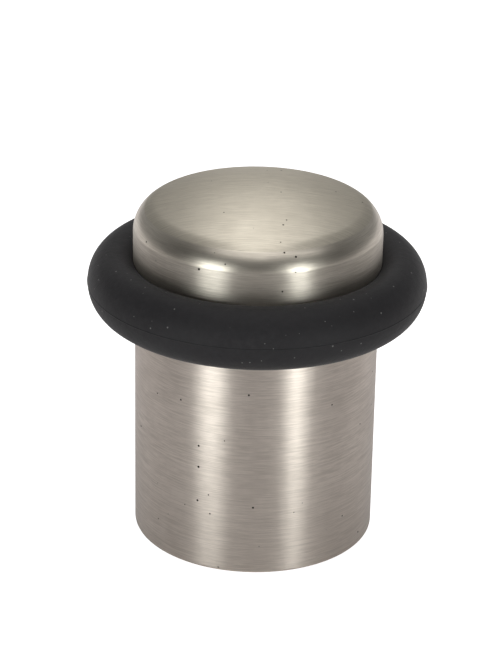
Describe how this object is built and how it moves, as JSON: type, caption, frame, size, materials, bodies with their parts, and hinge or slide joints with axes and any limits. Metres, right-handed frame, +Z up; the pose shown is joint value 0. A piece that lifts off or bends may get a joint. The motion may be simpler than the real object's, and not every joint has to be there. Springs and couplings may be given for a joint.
{
  "type": "floor door stop",
  "caption": "Floor-fixed cylinder door stop: brushed metal body, domed screw-off cap, thick black rubber buffer ring between them and a hidden fixing screw inside.",
  "frame": {"origin": "centre of the round base, on the floor plane", "axes": "+Z up along the axis of the cylinder; X and Y are any two directions across the floor"},
  "size_m": [0.0556, 0.0556, 0.0594],
  "materials": {
    "body_metal": "satin nickel plating, brushed round the body",
    "cap_metal": "satin nickel plating, brushed in circles",
    "ring_rubber": "matt black moulded rubber",
    "fixing_steel": "bright zinc-plated steel"
  },
  "bodies": {
    "base": {"body": "body_metal"},
    "ring_lift": {"rubber_ring": "ring_rubber"},
    "cap": {"cap": "cap_metal"},
    "washer": {"screw_washer": "fixing_steel"},
    "screw": {"fixing_screw": "fixing_steel"}
  },
  "joints": [
    {"name": "cap_rise", "type": "slide", "parent": "base", "child": "ring_lift", "axis": [0, 0, 1], "range_m": [0, 0.0075]},
    {"name": "cap_turn", "type": "hinge", "parent": "ring_lift", "child": "cap", "pos_m": [0, 0, 0.0403], "axis": [0, 0, 1], "range_deg": [0, 1800]},
    {"name": "screw_feed", "type": "slide", "parent": "base", "child": "washer", "axis": [0, 0, 1], "range_m": [-0.0325, 0]},
    {"name": "screw_turn", "type": "hinge", "parent": "washer", "child": "screw", "pos_m": [0, 0, 0.0402], "axis": [0, 0, 1], "range_deg": [-4680, 0]}
  ],
  "couplings": [
    {"joint": "cap_turn", "follows": "cap_rise", "rad_per_m": 4188.8},
    {"joint": "screw_turn", "follows": "screw_feed", "rad_per_m": 2513.3}
  ]
}
